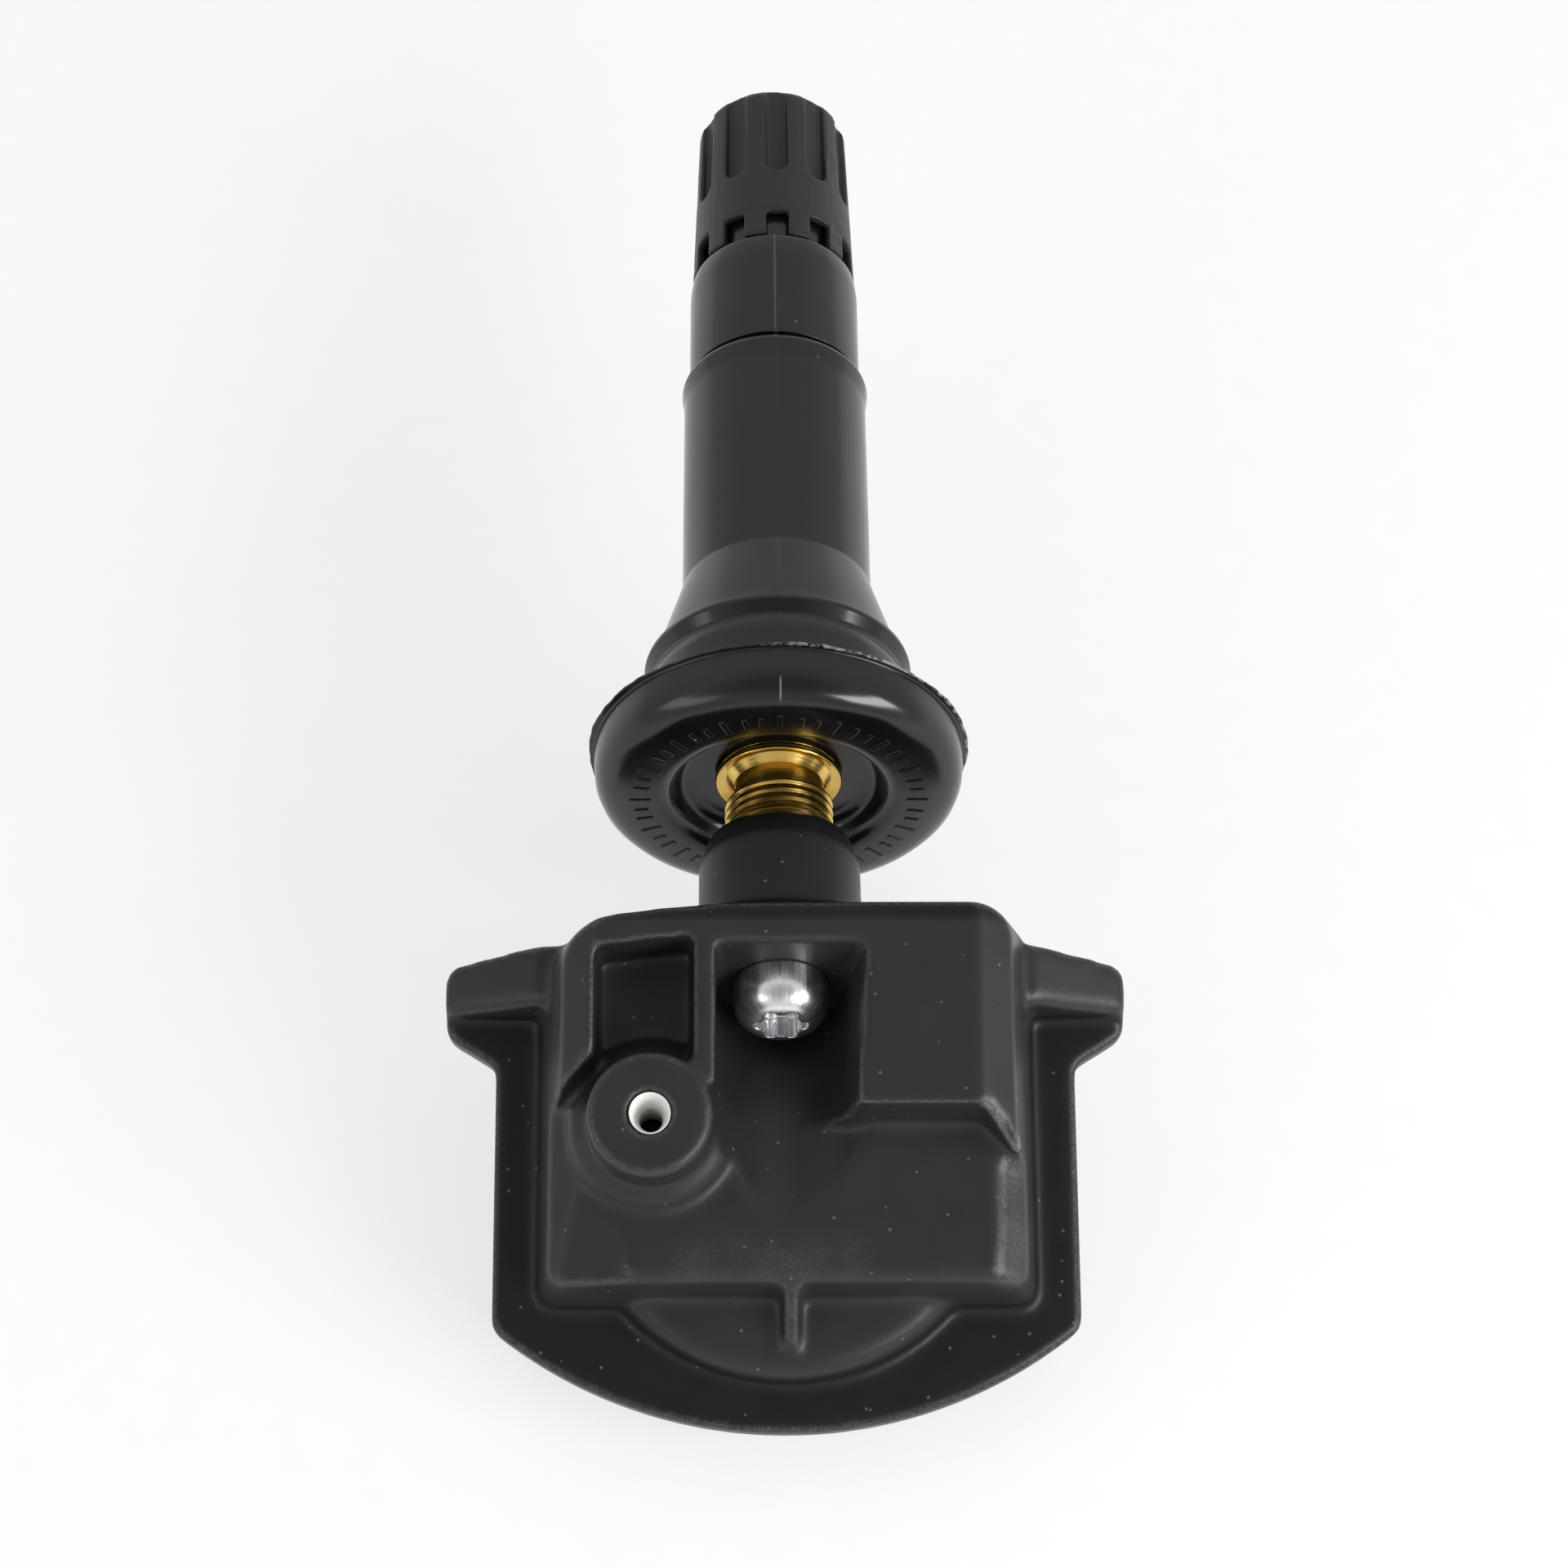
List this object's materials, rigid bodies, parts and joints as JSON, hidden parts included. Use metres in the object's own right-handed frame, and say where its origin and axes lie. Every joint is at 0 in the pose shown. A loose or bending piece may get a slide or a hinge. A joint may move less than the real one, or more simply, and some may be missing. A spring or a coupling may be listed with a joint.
{
  "type": "tyre pressure sensor",
  "caption": "Snap-in tyre pressure sensor: rubber valve stem with screw cap and sprung core, and a moulded sensor module clamped to its brass tail by a screw.",
  "frame": {"origin": "middle of the rubber neck, on the valve axis, where the rim hole sits", "axes": "+Y along the valve towards the cap, +Z to the side that the pressure port faces, +X to the right seen from the module"},
  "size_m": [0.0352, 0.079, 0.0249],
  "materials": {
    "cap_plastic": "moulded, fine matte",
    "seal_rubber": "matte",
    "stem_rubber": "moulded, glossy",
    "brass": "turned",
    "spring_steel": "drawn wire",
    "zinc_steel": "zinc plated",
    "housing_plastic": "moulded, glass filled, matte",
    "cover_plastic": "moulded, matte",
    "port_white": "smooth",
    "board_green": "solder resist on glass fibre",
    "chip_black": "moulded",
    "nickel": "nickel",
    "ferrite": "sintered",
    "copper": "enamelled copper wire",
    "cell_steel": "pressed steel",
    "capacitor_ceramic": "sintered"
  },
  "bodies": {
    "valve": {"rubber_stem": "stem_rubber", "brass_stem": "brass", "core_plug": "brass", "core_barrel_seal": "seal_rubber", "core_spring": "spring_steel", "clamp_screw": "zinc_steel", "sensor_housing": "housing_plastic", "back_cover": "cover_plastic", "port_seal": "port_white", "circuit_board": "board_green", "pressure_sensor_chip": "chip_black", "transmitter_chip": "chip_black", "crystal": "nickel", "lf_coil_core": "ferrite", "lf_coil_winding": "copper", "antenna_wire": "copper", "coin_cell": "cell_steel", "battery_tab_positive": "nickel", "battery_tab_negative": "nickel", "chip_capacitors": "capacitor_ceramic", "chip_resistors": "chip_black"},
    "cap_carrier": {"cap_seal": "seal_rubber"},
    "cap": {"valve_cap": "cap_plastic"},
    "core_stem": {"core_pin": "brass", "core_cup": "brass", "core_cup_seal": "seal_rubber"}
  },
  "joints": [
    {"name": "cap_lift", "type": "slide", "parent": "valve", "child": "cap_carrier", "axis": [0, 1, 0], "range_m": [0, 0.00516]},
    {"name": "cap_turn", "type": "hinge", "parent": "cap_carrier", "child": "cap", "pos_m": [0, 0.0355, 0], "axis": [0, 1, 0], "range_deg": [0, 2340]},
    {"name": "core_pin_press", "type": "slide", "parent": "valve", "child": "core_stem", "axis": [0, -1, 0], "range_m": [0, 0.0015], "stiffness_N_per_m": 1500, "springref_m": -0.001, "deforming": ["core_spring"]}
  ],
  "couplings": [
    {"joint": "cap_turn", "follows": "cap_lift", "rad_per_m": 7913.3}
  ]
}
